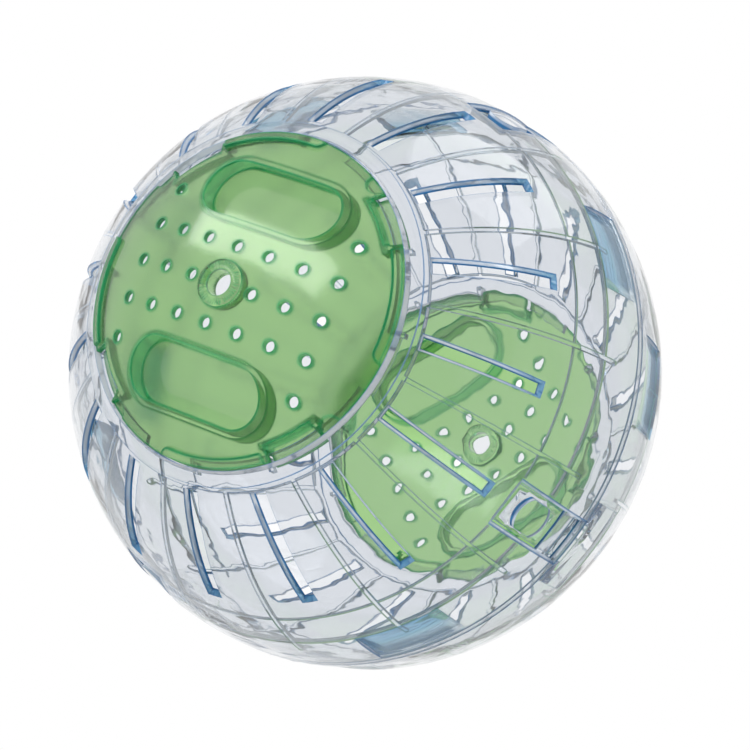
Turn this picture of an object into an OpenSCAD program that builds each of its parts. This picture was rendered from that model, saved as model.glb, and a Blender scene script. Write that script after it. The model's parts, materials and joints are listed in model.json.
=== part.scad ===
// Hamster exercise ball: two clear half shells clipped together at the seam, and a green twist door
// at each end. The ball's axis runs along Y, the front door faces -Y, and the origin is its centre.

/* [Ball] */
// Outside diameter of the clear ball
ball_d = 190; // [180:1:210]
// Wall of the half shells
shell_wall = 2; // [1.8:0.1:2.4]
// Turn of the slot and clip pattern about the axis, against the doors' hole rows
pattern_turn = -17; // [-20:1:-14]
// Gap between the two outer edges at the seam
seam_gap = 0.2; // [0.1:0.05:0.3]

/* [Slots and ribs] */
// Number of air slots round each half shell
slot_count = 16; // [16:8:16]
// Width of a slot at the outside
slot_w = 5.3; // [4.8:0.1:5.8]
// Width of a slot at the inside
slot_throat_w = 3.2; // [2.8:0.1:3.6]
// Angle from the pole to the near end of a slot
slot_start_deg = 38; // [37.5:0.5:39]
// Angle from the pole to the far end of a slot
slot_end_deg = 63; // [60:1:64]
// Width of an inner rib
rib_w = 1.3; // [1:0.1:1.6]
// Height of an inner rib
rib_h = 1.1; // [0.8:0.1:1.4]
// Angle from the pole to the far end of a rib
rib_end_deg = 81; // [79:1:82]
// Angle from the pole to the fine ring line inside the shell
fine_ring_deg = 69; // [67.5:0.5:70]
// Angle from the pole to the stout ring line inside the shell
stout_ring_deg = 77.5; // [77:0.5:78]

/* [Door opening] */
// Diameter of the door opening
opening_d = 105.2; // [103:0.1:107]
// Width of the raised collar round the opening
collar_w = 4.4; // [4:0.1:4.6]
// Height of the collar above the ball
collar_rise = 0.6; // [0.4:0.1:1]
// Reach of the inner ledge that the door sits on
ledge_reach = 3.4; // [3:0.1:3.6]
// Thickness of the inner ledge
ledge_t = 1.5; // [1.2:0.1:1.8]

/* [Seam clips] */
// Width of a clip window at the outside
window_w = 17.6; // [17:0.2:18]
// Width of the frame left round a window's hole
window_frame_w = 1.65; // [1.4:0.05:1.8]
// Depth of the recess that the strap of a window lies in
window_recess = 1.2; // [1.2:0.05:1.3]
// Angle from the pole to the top edge of a clip window
window_start_deg = 67; // [66:0.5:68]
// Angle from the pole to the strap of a clip window
strap_start_deg = 82.4; // [82:0.2:83]
// Angle from the pole to the seam side of the strap
strap_end_deg = 86.2; // [85.8:0.2:86.6]
// Thickness of a clip tongue
tongue_t = 1.6; // [1.3:0.1:1.8]
// Width of a thumb scoop
scoop_w = 29.5; // [28:0.5:31]
// Depth of a thumb scoop
scoop_depth = 1.25; // [1.1:0.05:1.3]
// Radius of a thumb scoop's hollow
scoop_r = 60; // [56:1:64]
// Angle from the pole to the seam side of a thumb scoop
scoop_end_deg = 88; // [87.6:0.2:88.2]

/* [Door] */
// Wall of the door's dome
door_wall = 2; // [1.8:0.1:2.2]
// Turn of the rear door and its seat, against the front one
rear_turn = 50; // [48:1:52]
// Width of a lug, as an angle about the axis
lug_deg = 19.5; // [18:0.5:20]
// Thickness of a lug
lug_t = 1.6; // [1.4:0.1:1.8]
// Reach of a lug under the ledge
lug_reach = 2.4; // [2:0.1:2.6]
// Turn from locked to free
twist_deg = 40; // [38:1:42]
// Length of a raised rim pad, as an angle about the axis
pad_deg = 39; // [36:1:40]
// Width of a raised rim pad
pad_w = 2.6; // [2.2:0.1:2.8]
// Height of a raised rim pad
pad_rise = 1.2; // [0.8:0.1:1.4]
// Depth of the small scallop beside a lug
scallop_depth = 1; // [0.8:0.1:1.2]
// Diameter of the hub boss
hub_d = 14.2; // [13:0.2:15]
// Length of the hub boss
hub_len = 5.7; // [5:0.1:6.5]
// Height of the hub boss above the dome
hub_rise = 0.7; // [0.4:0.1:1]
// Diameter of the hub bore
bore_d = 8.2; // [7:0.1:9]
// Diameter of an air hole
vent_d = 3.5; // [3:0.1:4]
// Spacing of the air holes along a row
vent_pitch = 11.05; // [10.8:0.05:11.2]
// Spacing of the rows of air holes
row_pitch = 12.1; // [11.8:0.1:12.3]
// Length of a finger grip
grip_len = 47.6; // [45:0.2:48.4]
// Width of a finger grip
grip_w = 18.4; // [17.6:0.2:18.8]
// Distance from the hub to the middle of a grip
grip_offset = 29.3; // [28.9:0.1:29.7]
// Depth of a finger grip
grip_depth = 6.2; // [5.6:0.2:6.8]
// Wall round and under a finger grip
grip_wall = 1.6; // [1.4:0.1:1.8]

/* [Hidden] */
$fn = 72;

// Overrun of every cut past the face that it opens
overrun = 0.5;
// Reach of a leaning cutter past the wall
cutter_reach = 12;
// Depth that a joined solid is sunk into the one that carries it
weld = 0.4;
// Running clearance between a turning door and its seat
running_gap = 0.3;
// Clearance between the rim of a door and the opening
rim_gap = 0.4;
// Inset of the wall behind a lug from the ledge
pocket_inset = 1.7;
// Clearance beside a clip tongue
tongue_gap = 0.5;
// Clearance of the seam's inner lap
lap_gap = 0.15;
// Height of the seam's inner lap
lap_h = 1.8;
// Width of a tongue's catch against its window's hole, and its rounding against its width
catch_share = 0.74;
catch_round_share = 0.62;
// Radius of the small scallop beside a lug
scallop_r = 3.2;
// Distance of the small scallop from its lug
scallop_inset = 0.7;
// Width of the step between a window's leaning sides and its hole
window_step = 0.25;
// Height and width of the fine ring line
fine_ring = 0.5;
// Height and width of the stout ring line
stout_ring = 1;

ball_r = ball_d / 2;
// Height of every tall cutter against the ball's radius
tall_share = 1.2;
tall = tall_share * ball_r;
inner_r = ball_r - shell_wall;
opening_r = opening_d / 2;
collar_r = ball_r + collar_rise;
collar_outer_r = opening_r + collar_w;
slot_pitch = 360 / slot_count;

// Radii of the nested layers at the opening, from the ball's centre
dome_r = ball_r;
dome_under_r = dome_r - door_wall;
ledge_top_r = dome_under_r - running_gap;
ledge_bottom_r = ledge_top_r - ledge_t;
lug_top_r = ledge_bottom_r - running_gap;
lug_bottom_r = lug_top_r - lug_t;

// Radii about the axis at the opening
door_r = opening_r - rim_gap;
ledge_inner_r = opening_r - ledge_reach;
skirt_t = grip_wall;
lug_outer_r = ledge_inner_r + lug_reach;
pocket_r = ledge_inner_r - pocket_inset;
cheek_outer_r = ledge_inner_r - rim_gap;

// Clips, one at every quarter turn
clip_count = 4;
quarter = 360 / clip_count;
lap_r = ball_r - shell_wall / 2;
window_hole_w = window_w - 2 * window_frame_w;
window_hole_start_deg = window_start_deg + window_frame_w / ball_r * 180 / PI;
tongue_w = window_hole_w - 2 * tongue_gap;
tongue_outer_r = inner_r - tongue_gap;
tongue_inner_r = tongue_outer_r - tongue_t;
low_clip_r = tongue_inner_r - tongue_gap;
ring_margin_deg = arc_deg(stout_ring, ball_r);
catch_w = window_hole_w * catch_share;
catch_round_r = catch_w * catch_round_share;
scoop_hub_r = ball_r - scoop_depth + scoop_r;
scoop_half_deg = acos((ball_r * ball_r + scoop_hub_r * scoop_hub_r - scoop_r * scoop_r) / (2 * ball_r * scoop_hub_r));
scoop_mid_deg = scoop_end_deg - scoop_half_deg;

// A place on the meridian plane at a radius and an angle from the pole
function on_meridian(r, deg) = [r * sin(deg), r * cos(deg)];

// Angle that a length takes up at a radius
function arc_deg(len, r) = len / r * 180 / PI;

// Spherical layer about the ball's centre
module layer(outer, inner) {
    difference() {
        sphere(outer);
        sphere(inner);
    }
}

// Everything above a height, out to past the ball
module above(z) {
    translate([-ball_d, -ball_d, z]) cube([2 * ball_d, 2 * ball_d, ball_d]);
}

// Upright ring sector about the axis, from radius a to b, centred on an angle
module sector(a, b, mid_deg, width_deg) {
    rotate([0, 0, mid_deg - width_deg / 2])
        rotate_extrude(angle = width_deg)
            translate([a, 0]) square([b - a, tall]);
}

// Upright full ring about the axis
module ring(a, b) {
    difference() {
        cylinder(r = b, h = tall);
        translate([0, 0, -overrun]) cylinder(r = a, h = tall + 2 * overrun);
    }
}

// Copies the children at even steps about the axis
module around(count, first_deg = 0) {
    for (i = [0 : count - 1]) rotate([0, 0, first_deg + i * 360 / count]) children();
}

// Sweeps a flat outline (radius, sideways) along the meridian between two angles from the pole
module along_meridian(from_deg, to_deg) {
    rotate([90, 0, 0])
        rotate([0, 0, 90 - to_deg])
            rotate_extrude(angle = to_deg - from_deg) children();
}

// Plain band along a meridian, between two radii
module band(from_deg, to_deg, low_r, high_r, w) {
    along_meridian(from_deg, to_deg) translate([low_r, -w / 2]) square([high_r - low_r, w]);
}

// Cutter with four leaning walls: width w at the outside, narrower by 2 * lean at the depth
module leaning_cutter(from_deg, to_deg, w, lean, depth, past = 0) {
    slope = lean / depth;
    low = ball_r - depth - past;
    low_half_w = w / 2 - lean - slope * past;
    a = on_meridian(ball_r, from_deg);
    b = on_meridian(ball_r - depth, from_deg + arc_deg(lean, ball_r));
    c = on_meridian(ball_r, to_deg);
    d = on_meridian(ball_r - depth, to_deg - arc_deg(lean, ball_r));
    out = cutter_reach / norm(a - b);
    intersection() {
        along_meridian(from_deg - 2 * slope, to_deg + 2 * slope)
            polygon([
                [low, -low_half_w],
                [collar_r + overrun, -w / 2 - slope * (collar_rise + overrun)],
                [collar_r + overrun, w / 2 + slope * (collar_rise + overrun)],
                [low, low_half_w]
            ]);
        rotate([90, 0, 0])
            linear_extrude(height = 2 * w, center = true)
                polygon([
                    b - (a - b),
                    a + out * (a - b),
                    c + out * (c - d),
                    d - (c - d)
                ]);
    }
}

// Air slot: a funnel along the meridian, wide outside and narrow inside
module slot_cutter() {
    lean = (slot_w - slot_throat_w) / 2;
    leaning_cutter(slot_start_deg, slot_end_deg, slot_w, lean, shell_wall, overrun);
}

// Collar and inner ledge round the door opening, with the gaps where the lugs go in
module opening_rim(lock_deg) {
    difference() {
        intersection() {
            layer(collar_r, ledge_bottom_r);
            ring(ledge_inner_r, collar_outer_r);
        }
        difference() {
            cylinder(r = opening_r, h = tall);
            sphere(ledge_top_r);
        }
        around(clip_count, lock_deg + twist_deg)
            sector(
                ledge_inner_r - overrun,
                opening_r - weld / 2,
                0,
                lug_deg + 2 * arc_deg(running_gap, opening_r)
            );
    }
}

// Pair of stop blocks under the ledge, one at each end of a lug's travel
module lug_stops() {
    stop_deg = arc_deg(ledge_t, opening_r);
    reach_deg = lug_deg / 2 + arc_deg(2 * running_gap, opening_r) + stop_deg / 2;
    intersection() {
        layer(ledge_bottom_r + weld, lug_bottom_r);
        union() {
            sector(ledge_inner_r + running_gap, opening_r, -reach_deg, stop_deg);
            sector(ledge_inner_r + running_gap, opening_r, twist_deg + reach_deg, stop_deg);
        }
    }
}

// Ring line moulded on the inside of the shell
module ring_line(deg, size) {
    z = ball_r * cos(deg);
    intersection() {
        layer(inner_r + weld, inner_r - size);
        translate([0, 0, z - size / 2]) cylinder(r = ball_r, h = size);
    }
}

// Thumb scoop beside the seam
module scoop_cutter() {
    width_deg = arc_deg(scoop_w, ball_r);
    rotate([0, 0, -width_deg / 2])
        rotate_extrude(angle = width_deg)
            translate(on_meridian(scoop_hub_r, scoop_mid_deg)) circle(scoop_r);
}

// Half shell with its pole up and the seam at height 0, before the clips: the turn of its slots, the
// place of its first lug when locked, and the width over which its ring lines leave room for a clip
module half_shell(turn, lock_deg, clear_w) {
    difference() {
        union() {
            difference() {
                intersection() {
                    layer(ball_r, inner_r);
                    above(seam_gap / 2);
                }
                cylinder(r = opening_r + collar_w / 2, h = tall);
            }
            opening_rim(lock_deg);
            around(clip_count, lock_deg) lug_stops();
            difference() {
                union() {
                    ring_line(fine_ring_deg, fine_ring);
                    ring_line(stout_ring_deg, stout_ring);
                }
                around(clip_count, turn)
                    band(window_start_deg - ring_margin_deg, 90, low_clip_r, ball_r, clear_w);
            }
            around(slot_count, turn + slot_pitch / 2)
                band(
                    asin(collar_outer_r / ball_r) - arc_deg(weld, ball_r),
                    rib_end_deg,
                    inner_r - rib_h,
                    inner_r + weld,
                    rib_w
                );
        }
        around(slot_count, turn) slot_cutter();
        around(clip_count, turn - 1.5 * slot_pitch) scoop_cutter();
    }
}

// Clip window: a recess with leaning sides, a hole, a strap, and a gap beside the seam
module window_cutter() {
    leaning_cutter(
        window_start_deg,
        90 + arc_deg(2 * window_frame_w, ball_r),
        window_w,
        window_frame_w - window_step,
        window_recess
    );
    band(window_hole_start_deg, strap_start_deg, low_clip_r, ball_r + overrun, window_hole_w);
    band(strap_end_deg, 90 + arc_deg(lap_h, ball_r), low_clip_r, ball_r + overrun, window_hole_w);
}

// Clip tongue that hangs past the seam into the other half's window
module clip_tongue() {
    tip_deg = 180 - window_hole_start_deg - arc_deg(2 * tongue_gap, ball_r);
    catch_deg = 180 - strap_start_deg + arc_deg(tongue_gap, ball_r);
    root_deg = 90 - arc_deg(lap_h, ball_r);
    band(root_deg - arc_deg(2 * lap_h, ball_r), tip_deg, tongue_inner_r, tongue_outer_r, tongue_w);
    intersection() {
        band(catch_deg, tip_deg, tongue_outer_r - weld, ball_r - tongue_gap, catch_w);
        rotate([0, (catch_deg + tip_deg) / 2, 0]) cylinder(r = catch_round_r, h = tall);
    }
}

// Plate inside the wall that carries the root of a tongue
module root_plate() {
    band(
        stout_ring_deg - ring_margin_deg,
        90 - arc_deg(lap_h, ball_r),
        tongue_inner_r + weld,
        inner_r + weld,
        scoop_w
    );
}

// Inner lap of the seam, which stands into the other half
module seam_lap() {
    translate([0, 0, -lap_h])
        difference() {
            intersection() {
                cylinder(r = lap_r, h = lap_h + 2 * weld);
                translate([0, 0, lap_h]) sphere(lap_r);
            }
            translate([0, 0, -overrun]) cylinder(r = inner_r, h = lap_h + 2 * weld + 2 * overrun);
        }
}

module front_half_shell() {
    color([0.84, 0.9, 0.96, 0.35])
        rotate([90, 0, 0])
            difference() {
                half_shell(pattern_turn, quarter / 2, window_w);
                around(clip_count, pattern_turn) window_cutter();
                cylinder(r = lap_r + lap_gap, h = lap_h + seam_gap);
            }
}

module rear_half_shell() {
    color([0.82, 0.89, 0.96, 0.35])
        rotate([-90, 0, 0]) {
            half_shell(-pattern_turn, quarter / 2 - rear_turn, scoop_w - 2 * weld);
            seam_lap();
            around(clip_count, -pattern_turn) {
                root_plate();
                clip_tongue();
            }
        }
}

// Finger grip outline: a long hole with round ends
module grip_outline(grow) {
    r = grip_w / 2 + grow;
    reach = (grip_len - grip_w) / 2;
    translate([-reach, -r]) square([2 * reach, 2 * r]);
    translate([-reach, 0]) circle(r);
    translate([reach, 0]) circle(r);
}

module grip_prism(grow) {
    for (side = [-1, 1])
        translate([0, side * grip_offset, 0]) linear_extrude(height = tall) grip_outline(grow);
}

// Air holes: three rows of seven without the hub, and one beside each end of each grip
module vent_cutters() {
    for (row = [-1 : 1], col = [-3 : 3])
        if (row != 0 || col != 0)
            translate([col * vent_pitch, row * row_pitch, 0]) cylinder(d = vent_d, h = tall);
    for (side = [-1, 1], end = [-1, 1])
        translate([end * 3 * vent_pitch, side * 2 * row_pitch, 0]) cylinder(d = vent_d, h = tall);
}

// Raised pad on the rim that ends square at a lug and rounds off into the rim at its other end
module rim_pad() {
    end_deg = -lug_deg / 2 - arc_deg(grip_wall, door_r);
    round_deg = end_deg - pad_deg + arc_deg(pad_w, door_r);
    intersection() {
        layer(dome_r + pad_rise, dome_r - weld);
        cylinder(r = door_r, h = tall);
        union() {
            sector(door_r - pad_w, door_r + overrun, (end_deg + round_deg) / 2, end_deg - round_deg);
            rotate([0, 0, round_deg])
                translate([door_r, 0, 0]) cylinder(r = pad_w, h = tall);
        }
    }
}

// Small scallop in the rim beside a lug
module rim_scallop() {
    rotate([0, 0, lug_deg / 2 + arc_deg(scallop_r + scallop_inset, door_r)])
        translate([door_r, 0, 0])
            difference() {
                cylinder(r = scallop_r, h = tall);
                translate([-door_r, 0, 0]) sphere(dome_r - scallop_depth);
            }
}

// Bayonet lug with its wall and cheeks
module lug() {
    cheek_deg = arc_deg(skirt_t, pocket_r);
    open_deg = lug_deg + 2 * arc_deg(running_gap, door_r);
    intersection() {
        layer(lug_top_r, lug_bottom_r);
        sector(pocket_r - skirt_t, lug_outer_r, 0, lug_deg);
    }
    intersection() {
        layer(dome_r - weld, lug_bottom_r);
        union() {
            sector(pocket_r - skirt_t, pocket_r, 0, open_deg + 2 * cheek_deg);
            for (side = [-1, 1])
                sector(pocket_r - weld, cheek_outer_r, side * (lug_deg / 2), cheek_deg);
        }
    }
}

// Door with its axis up
module door() {
    difference() {
        union() {
            difference() {
                intersection() {
                    layer(dome_r, dome_under_r);
                    cylinder(r = door_r, h = tall);
                }
                around(clip_count, quarter / 2)
                    sector(pocket_r, door_r + overrun, 0, lug_deg);
                around(clip_count, quarter / 2) rim_scallop();
            }
            around(clip_count, quarter / 2) {
                lug();
                rim_pad();
            }
            intersection() {
                layer(dome_r - door_wall / 2, dome_r - grip_depth - grip_wall);
                grip_prism(grip_wall);
            }
            translate([0, 0, dome_r + hub_rise - hub_len]) cylinder(d = hub_d, h = hub_len);
        }
        difference() {
            grip_prism(0);
            sphere(dome_r - grip_depth);
        }
        vent_cutters();
        cylinder(d = bore_d, h = tall);
    }
}

module front_door() {
    color([0.5, 0.76, 0.42, 0.85]) rotate([90, 0, 0]) door();
}

module rear_door() {
    color([0.46, 0.73, 0.4, 0.85]) rotate([-90, 0, 0]) rotate([0, 0, -rear_turn]) door();
}

front_half_shell();
rear_half_shell();
front_door();
rear_door();
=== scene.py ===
"""Hamster exercise ball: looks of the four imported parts, floor, lights and camera."""

import json
import math

import bmesh
import bpy
import numpy as np
from mathutils import Matrix, Vector

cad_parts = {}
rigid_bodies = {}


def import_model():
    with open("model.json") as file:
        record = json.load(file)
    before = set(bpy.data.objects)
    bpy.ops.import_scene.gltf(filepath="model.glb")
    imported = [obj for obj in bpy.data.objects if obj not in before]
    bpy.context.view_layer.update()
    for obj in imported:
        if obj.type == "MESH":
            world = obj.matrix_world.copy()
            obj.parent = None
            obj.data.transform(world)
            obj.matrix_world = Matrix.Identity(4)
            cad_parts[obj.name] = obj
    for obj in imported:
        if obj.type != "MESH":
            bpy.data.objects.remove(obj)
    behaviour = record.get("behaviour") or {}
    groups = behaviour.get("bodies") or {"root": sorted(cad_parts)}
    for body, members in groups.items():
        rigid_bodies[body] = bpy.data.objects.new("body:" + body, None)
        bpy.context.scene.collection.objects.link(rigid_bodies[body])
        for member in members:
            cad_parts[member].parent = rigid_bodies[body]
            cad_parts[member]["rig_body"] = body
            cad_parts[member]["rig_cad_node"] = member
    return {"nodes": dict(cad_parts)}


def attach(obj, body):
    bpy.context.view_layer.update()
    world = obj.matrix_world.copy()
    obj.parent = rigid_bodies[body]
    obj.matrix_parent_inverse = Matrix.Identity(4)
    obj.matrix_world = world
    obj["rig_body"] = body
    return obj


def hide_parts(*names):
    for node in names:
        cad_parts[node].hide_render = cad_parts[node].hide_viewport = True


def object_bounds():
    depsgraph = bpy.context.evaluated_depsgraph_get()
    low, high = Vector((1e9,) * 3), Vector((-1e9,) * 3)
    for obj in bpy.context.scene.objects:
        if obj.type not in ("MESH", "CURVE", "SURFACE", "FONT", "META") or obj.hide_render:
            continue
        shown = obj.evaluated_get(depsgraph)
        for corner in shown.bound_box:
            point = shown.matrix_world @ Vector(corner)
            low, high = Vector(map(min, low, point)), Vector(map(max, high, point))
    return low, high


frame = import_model()
cad_low, cad_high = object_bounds()

# The hubs stand out along Y, so the box gives the ball's radius along X
BALL_R = cad_high.x
# Faces that reach up into this depth belong to the shell's wall, and ribs and tongues lie below
WALL_DEPTH = 0.00195
WALL_R = BALL_R - WALL_DEPTH
# The inner faces of the shell lie deeper than this, and its outer ones less deep
MIDDLE_DEPTH = 0.001
MIDDLE_R = BALL_R - MIDDLE_DEPTH
# The hub boss and its bore lie within this distance of the ball's axis
HUB_R = 0.0073
QUARTER_DEG = 90
# Azimuth of the first thumb scoop of each half; the others follow by quarter turns
FRONT_SCOOP_DEG = 39.25
REAR_SCOOP_DEG = 16.75
FLOOR_SIZE = 6
FLOOR_GAP = 0.0002

# Places of the materials on a piece: open faces, cut walls, sides of ribs and tongues,
# thumb scoops, seam ends of the slots, the wall of the door opening, and the hub
FACE, WALL, INNER, SCOOP, SLOT_END, COLLAR, HUB = range(7)

# Corners closer than this are welded, and edges sharper than the crease angle stay sharp
WELD_DISTANCE = 0.000001
CREASE_DEG = 28
# A face lies on a sphere if the radii of its corners differ by less than this
SPHERE_TOLERANCE = 0.00004
# Cosine between a face's normal and its radius, for a face on a sphere and for a broad one
SPHERE_FACING = 0.97
BROAD_FACING = 0.85
# Angles from the ball's pole that bound the collars, the seam ends of the slots and the scoops
COLLAR_TO_DEG = 36.5
SLOT_END_DEG = (60.5, 64.5)
SCOOP_FROM_DEG = 64
# Half the width of a scoop, as an angle about the ball's axis
SCOOP_HALF_DEG = 9.5
# How far the seam end of a slot looks along the meridian, at least
SLOT_END_ALONG = 0.6

PLASTIC_IOR = 1.45
SHELL_TINT = (0.822, 0.842, 0.873)
SHELL_ROUGHNESS = 0.02
WALL_ROUGHNESS = 0.15
RIB_ROUGHNESS = 0.2
RIB_MATT_SHARE = 0.25
# Painted edge lines of light and shade: roughness and share of their matt part
LINE_ROUGHNESS = 0.3
LINE_MATT_SHARE = 0.55
# Green of the doors: the sheet's own tint, then painted light: the light piped to their cut walls
# and their emerald edge lines, both painted as colour
DOOR_TINT = (0.36, 0.61, 0.255)
DOOR_ROUGHNESS = 0.14
PIPED_THROUGH_TINT = (0.34, 0.78, 0.4)
PIPED_MATT_TINT = (0.05, 0.45, 0.16)
PIPED_MATT_SHARE = 0.35
DOOR_EDGE_LIGHT_THROUGH_TINT = (0.06, 0.56, 0.28)
DOOR_EDGE_LIGHT_MATT_TINT = (0.005, 0.38, 0.14)
# Waves of the mouldings: scale of the noise, strength, and height in metres
COARSE_WAVES = (26.0, 0.4, 0.002)
FINE_WAVES = (80.0, 1.0, 0.00013)
DOOR_WAVES = (34.0, 0.25, 0.002)
# Radius of the Bevel node that finds an edge, which is about the width of the painted edge line of
# light and shade there
SHELL_LINE_R = 0.0004
WALL_LINE_R = 0.0007
DOOR_LINE_R = 0.0014
HUB_LINE_R = 0.0004
BEVEL_SAMPLES = 3
# Cosine between the bevelled normal and the face's own where a painted edge line starts and where
# it is full
LINE_FROM, LINE_TO = 0.99, 0.96
# Place across a cut wall, from its inner to its outer edge, and share of the painted shade line
# there
WALL_SHADE_BAND_SHARES = ((0.2, 1.0), (0.36, 0.0), (0.7, 0.0), (0.84, 0.8))

WHITE = (1, 1, 1, 1)


def new_material(name):
    """Empty node material, with its nodes, its links and its output node."""
    mat = bpy.data.materials.new(name)
    mat.use_nodes = True
    nodes = mat.node_tree.nodes
    nodes.clear()
    out = nodes.new("ShaderNodeOutputMaterial")
    return mat, nodes, mat.node_tree.links, out


def add(nodes, kind, **values):
    """Node with the named inputs set; an underscore stands for a space in an input's name."""
    node = nodes.new(kind)
    for key, value in values.items():
        node.inputs[key.replace("_", " ")].default_value = value
    return node


def calculate(nodes, links, operation, *terms):
    """Math node on the terms, each of them a socket or a number."""
    node = nodes.new("ShaderNodeMath")
    node.operation = operation
    for place, term in enumerate(terms):
        if isinstance(term, bpy.types.NodeSocket):
            links.new(term, node.inputs[place])
        else:
            node.inputs[place].default_value = term
    return node.outputs["Value"]


def blend(nodes, links, share, first, second):
    """Mix of two surfaces; the share of the second one is a socket or a number."""
    mix = nodes.new("ShaderNodeMixShader")
    if isinstance(share, bpy.types.NodeSocket):
        links.new(share, mix.inputs["Fac"])
    else:
        mix.inputs["Fac"].default_value = share
    links.new(first, mix.inputs[1])
    links.new(second, mix.inputs[2])
    return mix.outputs["Shader"]


def matt_plastic(nodes, tint, roughness):
    bsdf = add(
        nodes,
        "ShaderNodeBsdfPrincipled",
        Base_Color=(*tint, 1),
        Roughness=roughness,
        IOR=PLASTIC_IOR,
    )
    return bsdf.outputs["BSDF"]


def seen_through(nodes, tint):
    return add(nodes, "ShaderNodeBsdfTransparent", Color=(*tint, 1)).outputs["BSDF"]


def place_on_ball(nodes):
    return nodes.new("ShaderNodeTexCoord").outputs["Object"]


def distance_from_centre(nodes, links, place):
    length = nodes.new("ShaderNodeVectorMath")
    length.operation = "LENGTH"
    links.new(place, length.inputs[0])
    return length.outputs["Value"]


def colour_ramp(nodes, links, share, stops):
    """Colour that follows a share from 0 to 1; each stop is a share and a tint."""
    ramp = nodes.new("ShaderNodeValToRGB")
    links.new(share, ramp.inputs["Fac"])
    marks = ramp.color_ramp.elements
    while len(marks) < len(stops):
        marks.new(0.5)
    for mark, (position, tint) in zip(marks, stops):
        mark.position = position
        mark.color = (*tint, 1)
    return ramp.outputs["Color"]


def moulding_waves(nodes, links, scale, strength, distance, inner_only=False):
    """Soft waviness of a moulded surface, on all its faces or on the inner ones alone."""
    place = place_on_ball(nodes)
    noise = add(nodes, "ShaderNodeTexNoise", Scale=scale, Detail=2.0, Roughness=0.5)
    links.new(place, noise.inputs["Vector"])
    height = noise.outputs["Fac"]
    if inner_only:
        from_centre = distance_from_centre(nodes, links, place)
        inside = calculate(nodes, links, "LESS_THAN", from_centre, MIDDLE_R)
        height = calculate(nodes, links, "MULTIPLY", height, inside)
    bump = add(nodes, "ShaderNodeBump", Strength=strength, Distance=distance)
    links.new(height, bump.inputs["Height"])
    return bump


def painted_edge_share(nodes, links, radius):
    """Share of a painted edge line, a colour that stands in for light piped to the edge and shade
    there: 1 close to a sharp edge, 0 on open faces.
    """
    bevel = nodes.new("ShaderNodeBevel")
    bevel.samples = BEVEL_SAMPLES
    bevel.inputs["Radius"].default_value = radius
    here = nodes.new("ShaderNodeNewGeometry")
    along = nodes.new("ShaderNodeVectorMath")
    along.operation = "DOT_PRODUCT"
    links.new(bevel.outputs["Normal"], along.inputs[0])
    links.new(here.outputs["Normal"], along.inputs[1])
    share = nodes.new("ShaderNodeMapRange")
    share.inputs["From Min"].default_value = LINE_FROM
    share.inputs["From Max"].default_value = LINE_TO
    links.new(along.outputs["Value"], share.inputs["Value"])
    return share.outputs["Result"]


def painted_edge_light_and_shade(nodes, links, through_tint, matt_tint, matt_share=LINE_MATT_SHARE):
    """Painted light and shade at an edge: a colour that stands in for light a sheet pipes to its
    edge, partly seen through and partly scattered.
    """
    through = seen_through(nodes, through_tint)
    matt = matt_plastic(nodes, matt_tint, LINE_ROUGHNESS)
    return blend(nodes, links, matt_share, through, matt)


def polar_tint(nodes, links, stops):
    """Tint that changes with the angle from the ball's pole, which paints light and shade on cut
    walls; each stop is an angle and a tint.
    """
    unit = nodes.new("ShaderNodeVectorMath")
    unit.operation = "NORMALIZE"
    links.new(place_on_ball(nodes), unit.inputs[0])
    parts = nodes.new("ShaderNodeSeparateXYZ")
    links.new(unit.outputs["Vector"], parts.inputs[0])
    along = calculate(nodes, links, "ABSOLUTE", parts.outputs["Y"])
    angle = calculate(nodes, links, "ARCCOSINE", along)
    share = calculate(nodes, links, "DIVIDE", angle, math.pi / 2)
    marks = [(degrees / QUARTER_DEG, tint) for degrees, tint in stops]
    return colour_ramp(nodes, links, share, marks)


def painted_shade_bands(nodes, links):
    """Share of the painted shade, dark bands along a cut wall: at its inner and outer edge, and
    none between.
    """
    across = nodes.new("ShaderNodeMapRange")
    across.inputs["From Min"].default_value = WALL_R
    across.inputs["From Max"].default_value = BALL_R
    from_centre = distance_from_centre(nodes, links, place_on_ball(nodes))
    links.new(from_centre, across.inputs["Value"])
    stops = [(position, (share,) * 3) for position, share in WALL_SHADE_BAND_SHARES]
    return colour_ramp(nodes, links, across.outputs["Result"], stops)


def clear_sheet(nodes, links, stops=None):
    """Clear sheet that refracts and is a little wavy, most on its inner face; given stops, its tint
    follows the angle from the pole and paints light and shade on a cut wall.
    """
    bsdf = add(
        nodes,
        "ShaderNodeBsdfPrincipled",
        Base_Color=(*SHELL_TINT, 1),
        Roughness=SHELL_ROUGHNESS,
        IOR=PLASTIC_IOR,
        Transmission_Weight=1.0,
    )
    if stops:
        links.new(polar_tint(nodes, links, stops), bsdf.inputs["Base Color"])
    coarse = moulding_waves(nodes, links, *COARSE_WAVES)
    fine = moulding_waves(nodes, links, *FINE_WAVES, inner_only=True)
    links.new(coarse.outputs["Normal"], fine.inputs["Normal"])
    links.new(fine.outputs["Normal"], bsdf.inputs["Normal"])
    return bsdf.outputs["BSDF"]


def clear_plastic(name, through_edge_light, matt_edge_light):
    """Clear shell: refracts with a pale blue tint, and carries painted lines of piped light and
    shade at its edges.
    """
    mat, nodes, links, out = new_material(name)
    lines = painted_edge_light_and_shade(nodes, links, through_edge_light, matt_edge_light)
    share = painted_edge_share(nodes, links, SHELL_LINE_R)
    surface = blend(nodes, links, share, clear_sheet(nodes, links), lines)
    links.new(surface, out.inputs["Surface"])
    return mat


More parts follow.
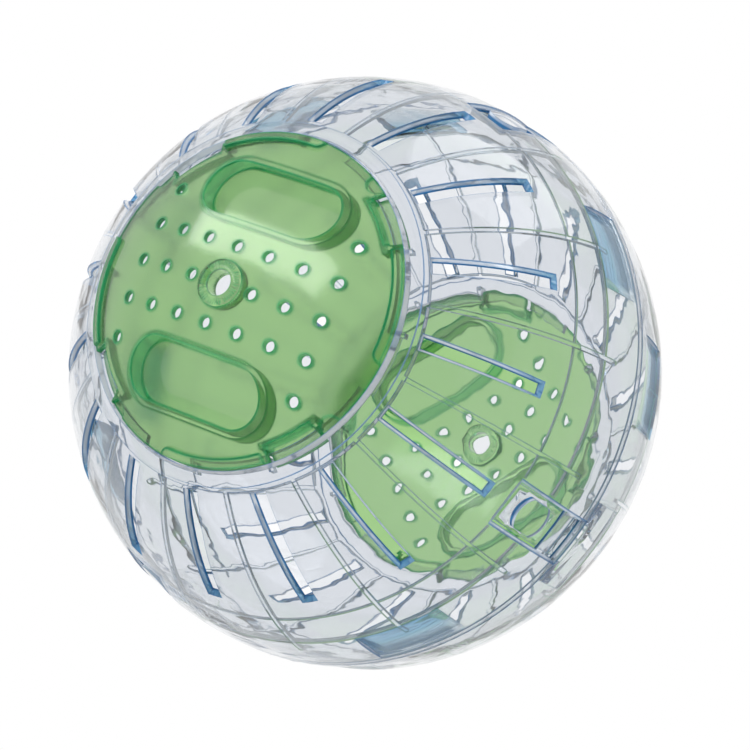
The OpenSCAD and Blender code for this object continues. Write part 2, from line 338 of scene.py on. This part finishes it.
def clear_wall(name, sheet_stops, matt_stops, matt_share, painted_line_tint, banded=False):
    """Cut or moulded wall of the clear shell: part sheet, part painted light and shade, a matt tint
    by the angle from the pole that stands in for light the sheet pipes to it, with painted edge
    lines, or dark bands when banded.
    """
    mat, nodes, links, out = new_material(name)
    matt = add(nodes, "ShaderNodeBsdfPrincipled", Roughness=WALL_ROUGHNESS, IOR=PLASTIC_IOR)
    links.new(polar_tint(nodes, links, matt_stops), matt.inputs["Base Color"])
    sheet = clear_sheet(nodes, links, sheet_stops)
    wall = blend(nodes, links, matt_share, sheet, matt.outputs["BSDF"])
    lines = painted_edge_light_and_shade(nodes, links, painted_line_tint, painted_line_tint)
    share = painted_shade_bands(nodes, links) if banded else painted_edge_share(nodes, links, WALL_LINE_R)
    links.new(blend(nodes, links, share, wall, lines), out.inputs["Surface"])
    return mat


def inner_side(name, through_tint, matt_tint):
    """Side of a rib, ring line or tongue, seen as a thin shaded line."""
    mat, nodes, links, out = new_material(name)
    through = seen_through(nodes, through_tint)
    matt = matt_plastic(nodes, matt_tint, RIB_ROUGHNESS)
    links.new(blend(nodes, links, RIB_MATT_SHARE, through, matt), out.inputs["Surface"])
    return mat


def green_plastic(name, piped_share, line_r):
    """Tinted door: refracts, and carries painted light: emerald lines at its edges, and by
    piped_share the emerald of light piped to its cut walls.
    """
    mat, nodes, links, out = new_material(name)
    bsdf = add(
        nodes,
        "ShaderNodeBsdfPrincipled",
        Base_Color=(*DOOR_TINT, 1),
        Roughness=DOOR_ROUGHNESS,
        IOR=PLASTIC_IOR,
        Transmission_Weight=1.0,
    )
    bump = moulding_waves(nodes, links, *DOOR_WAVES)
    links.new(bump.outputs["Normal"], bsdf.inputs["Normal"])
    piped = painted_edge_light_and_shade(nodes, links, PIPED_THROUGH_TINT, PIPED_MATT_TINT, PIPED_MATT_SHARE)
    body = blend(nodes, links, piped_share, bsdf.outputs["BSDF"], piped)
    lines = painted_edge_light_and_shade(nodes, links, DOOR_EDGE_LIGHT_THROUGH_TINT, DOOR_EDGE_LIGHT_MATT_TINT)
    share = painted_edge_share(nodes, links, line_r)
    links.new(blend(nodes, links, share, body, lines), out.inputs["Surface"])
    return mat


def along_axis(mid, normal):
    """How far a face looks along the meridian, from 0 to 1."""
    across = mid.cross(Vector((0, 1, 0))).normalized()
    return abs(mid.cross(across).dot(normal))


def kind_of_face(mid, normal, outer, scoop_azimuth):
    """Kind of a face off the spheres, from the direction of its middle and from its normal."""
    facing = mid.dot(normal)
    polar = math.degrees(math.acos(abs(mid.y)))
    azimuth = math.degrees(math.atan2(mid.z, mid.x))
    turned = azimuth - scoop_azimuth + QUARTER_DEG / 2
    from_scoop = abs(turned % QUARTER_DEG - QUARTER_DEG / 2)
    if abs(facing) > BROAD_FACING:
        by_scoop = polar > SCOOP_FROM_DEG and from_scoop < SCOOP_HALF_DEG
        return SCOOP if facing > 0 and outer and by_scoop else FACE
    if outer and polar < COLLAR_TO_DEG:
        return COLLAR
    in_end = SLOT_END_DEG[0] < polar < SLOT_END_DEG[1]
    if outer and in_end and along_axis(mid, normal) > SLOT_END_ALONG:
        return SLOT_END
    return WALL if outer else INNER


def copy_of_node(node, name):
    """Copy of a CAD part at its place, welded, and smooth but for its creases."""
    source = frame["nodes"][node]
    obj = source.copy()
    obj.data = source.data.copy()
    obj.name = name
    obj.parent = None
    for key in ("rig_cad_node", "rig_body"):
        if key in obj:
            del obj[key]
    bpy.context.scene.collection.objects.link(obj)
    obj.matrix_world = Matrix.Identity(4)

    mesh = obj.data
    welded = bmesh.new()
    welded.from_mesh(mesh)
    bmesh.ops.remove_doubles(welded, verts=welded.verts, dist=WELD_DISTANCE)
    welded.to_mesh(mesh)
    welded.free()
    mesh.polygons.foreach_set("use_smooth", [True] * len(mesh.polygons))
    mesh.set_sharp_from_angle(angle=math.radians(CREASE_DEG))
    mesh.update()
    return obj


def finer_copy(node, name, mats, scoop_azimuth):
    """Copy of a CAD part with true sphere normals, and its cut walls in their own materials."""
    obj = copy_of_node(node, name)
    mesh = obj.data
    mesh.materials.clear()
    for mat in mats:
        mesh.materials.append(mat)

    co = np.zeros(len(mesh.vertices) * 3)
    mesh.vertices.foreach_get("co", co)
    co = co.reshape(-1, 3)
    radius = np.linalg.norm(co, axis=1)
    outward = co / radius[:, None]
    split = np.array([loop.vector[:] for loop in mesh.corner_normals])
    kinds = []
    for face in mesh.polygons:
        corners = np.array(face.vertices)
        around = radius[corners]
        mid = Vector(outward[corners].mean(axis=0)).normalized()
        facing = mid.dot(face.normal)
        on_sphere = around.max() - around.min() < SPHERE_TOLERANCE
        if np.hypot(co[corners, 0], co[corners, 2]).max() < HUB_R:
            kinds.append(HUB)
        elif on_sphere and abs(facing) > SPHERE_FACING:
            split[np.array(face.loop_indices)] = outward[corners] * (1 if facing > 0 else -1)
            kinds.append(FACE)
        else:
            kinds.append(kind_of_face(mid, face.normal, around.max() > WALL_R, scoop_azimuth))
    mesh.polygons.foreach_set("material_index", kinds)
    mesh.normals_split_custom_set(split.tolist())
    mesh.update()
    return obj


def stand_in(node, piece_name, body, mats, scoop_azimuth):
    piece = finer_copy(node, piece_name, mats, scoop_azimuth)
    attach(piece, body)
    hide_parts(node)


def looked_at(nodes, links):
    """1 where the camera, a reflection or a clear piece looks, and 0 for scattered light."""
    path = nodes.new("ShaderNodeLightPath")
    rays = (path.outputs["Is Camera Ray"], path.outputs["Is Glossy Ray"])
    straight = calculate(nodes, links, "MAXIMUM", *rays)
    return calculate(nodes, links, "MAXIMUM", straight, path.outputs["Is Transmission Ray"])


def floor():
    bpy.ops.mesh.primitive_plane_add(size=FLOOR_SIZE, location=(0, 0, -BALL_R - FLOOR_GAP))
    plane = bpy.context.object
    plane.name = "floor"
    mat, nodes, links, out = new_material("floor")
    matt = add(nodes, "ShaderNodeBsdfDiffuse", Color=(0.9, 0.9, 0.9, 1)).outputs["BSDF"]
    white = add(nodes, "ShaderNodeEmission", Color=WHITE, Strength=1.0).outputs["Emission"]
    surface = blend(nodes, links, looked_at(nodes, links), matt, white)
    links.new(surface, out.inputs["Surface"])
    plane.data.materials.append(mat)


def world():
    made = bpy.data.worlds.new("studio")
    bpy.context.scene.world = made
    made.use_nodes = True
    nodes, links = made.node_tree.nodes, made.node_tree.links
    nodes.clear()
    out = nodes.new("ShaderNodeOutputWorld")
    soft = add(nodes, "ShaderNodeBackground", Color=WHITE, Strength=0.55).outputs["Background"]
    white = add(nodes, "ShaderNodeBackground", Color=WHITE, Strength=1.0).outputs["Background"]
    surface = blend(nodes, links, looked_at(nodes, links), soft, white)
    links.new(surface, out.inputs["Surface"])


def lamp(name, place, size, power):
    """Rectangular lamp that looks at the ball's centre."""
    data = bpy.data.lights.new(name, "AREA")
    data.shape = "RECTANGLE"
    data.size, data.size_y = size
    data.energy = power
    obj = bpy.data.objects.new(name, data)
    obj.location = place
    obj.rotation_mode = "QUATERNION"
    obj.rotation_quaternion = (-Vector(place)).to_track_quat("-Z", "Y")
    bpy.context.scene.collection.objects.link(obj)


def camera():
    """Camera fitted to the photograph: its axes in the ball's frame, lens, shifts and distance."""
    right = Vector((0.8060, 0.4463, 0.3892)).normalized()
    back = Vector((0.5168, -0.8510, -0.0939)).normalized()
    distance = 0.836
    up = back.cross(right).normalized()
    right = up.cross(back)
    data = bpy.data.cameras.new("camera")
    data.lens = 124.6
    data.sensor_width = 36
    data.shift_x = 0.0130
    data.shift_y = -0.00245
    obj = bpy.data.objects.new("camera", data)
    turn = Matrix((right, up, back)).transposed()
    obj.matrix_world = Matrix.Translation(back * distance) @ turn.to_4x4()
    bpy.context.scene.collection.objects.link(obj)
    bpy.context.scene.camera = obj


# Painted light and shade: blue lines along the shell's edges
clear = clear_plastic("clear_plastic", through_edge_light=(0.42, 0.56, 0.78), matt_edge_light=(0.2, 0.4, 0.7))
# Painted shade: the slot walls darken to deep blue about 62° from the pole, by the seam ends of the
# slots, with painted dark bands at their inner and outer edges
slot_wall = clear_wall(
    "slot_wall",
    sheet_stops=[
        (40, (0.86, 0.9, 0.95)),
        (54, (0.7, 0.82, 0.93)),
        (62, (0.2, 0.5, 0.78)),
        (67, (0.7, 0.82, 0.93)),
    ],
    matt_stops=[
        (40, (0.82, 0.87, 0.94)),
        (54, (0.66, 0.77, 0.9)),
        (62, (0.1, 0.38, 0.64)),
        (67, (0.6, 0.72, 0.9)),
    ],
    matt_share=0.5,
    painted_line_tint=(0.05, 0.24, 0.52),
    banded=True,
)
inner_wall = inner_side("inner_wall", through_tint=(0.6, 0.65, 0.67), matt_tint=(0.66, 0.7, 0.72))
# Painted shade: each thumb scoop runs from dark blue at its pole side to pale at the seam, with
# painted blue edge lines
scoop = clear_wall(
    "scoop",
    sheet_stops=[(76.5, (0.05, 0.3, 0.6)), (81.5, (0.2, 0.52, 0.76)), (87, (0.8, 0.87, 0.9))],
    matt_stops=[(76.5, (0.02, 0.2, 0.42)), (81.5, (0.08, 0.34, 0.58)), (86.5, (0.45, 0.65, 0.78))],
    matt_share=0.35,
    painted_line_tint=(0.2, 0.42, 0.64),
)
# Painted shade: the seam ends of the slots are dark blue, with dark blue painted edge lines
slot_end = clear_wall(
    "slot_end",
    sheet_stops=[(62, (0.25, 0.54, 0.8)), (90, (1, 1, 1))],
    matt_stops=[(62, (0.06, 0.3, 0.58)), (90, (1, 1, 1))],
    matt_share=0.7,
    painted_line_tint=(0.03, 0.14, 0.4),
)
# Painted light and shade: a pale blue-grey tint on the wall of the door opening, with pale painted
# edge lines
collar = clear_wall(
    "collar",
    sheet_stops=[(33, (0.86, 0.88, 0.9)), (90, (1, 1, 1))],
    matt_stops=[(33, (0.78, 0.83, 0.9)), (90, (1, 1, 1))],
    matt_share=0.4,
    painted_line_tint=(0.6, 0.68, 0.8),
)
# Painted light: emerald edge lines on both doors, thinner on the hub, and on their cut walls the
# painted emerald of piped light
green = green_plastic("green_plastic", piped_share=0.0, line_r=DOOR_LINE_R)
green_wall = green_plastic("green_wall", piped_share=0.6, line_r=DOOR_LINE_R)
green_hub = green_plastic("green_hub", piped_share=0.0, line_r=HUB_LINE_R)

clear_mats = (clear, slot_wall, inner_wall, scoop, slot_end, collar, clear)
green_mats = (green, green_wall, green_wall, green, green_wall, green_wall, green_hub)
# The doors have no thumb scoops, so any azimuth does for them
for node, name, body, slot, mats, scoop_azimuth in (
    ("front_half_shell", "front_shell_clear", "ball", "clear_plastic", clear_mats, FRONT_SCOOP_DEG),
    ("rear_half_shell", "rear_shell_clear", "ball", "clear_plastic", clear_mats, REAR_SCOOP_DEG),
    ("front_door", "front_door_green", "front_door_body", "green_plastic", green_mats, 0.0),
    ("rear_door", "rear_door_green", "rear_door_body", "green_plastic", green_mats, 0.0),
):
    stand_in(node, name, body, mats, scoop_azimuth)

floor()
world()
lamp("strip", place=(-0.505, -0.99, 0.45), size=(1.38, 0.34), power=9.0)
lamp("top", place=(0.2, 0.1, 1.3), size=(0.9, 0.9), power=3.0)
camera()

bpy.context.scene.view_settings.view_transform = "Standard"
# A line of sight meets up to a score of clear faces, which the usual bounce limits would turn black
cycles = bpy.context.scene.cycles
cycles.max_bounces = 24
cycles.transmission_bounces = 24
cycles.glossy_bounces = 12
cycles.transparent_max_bounces = 32
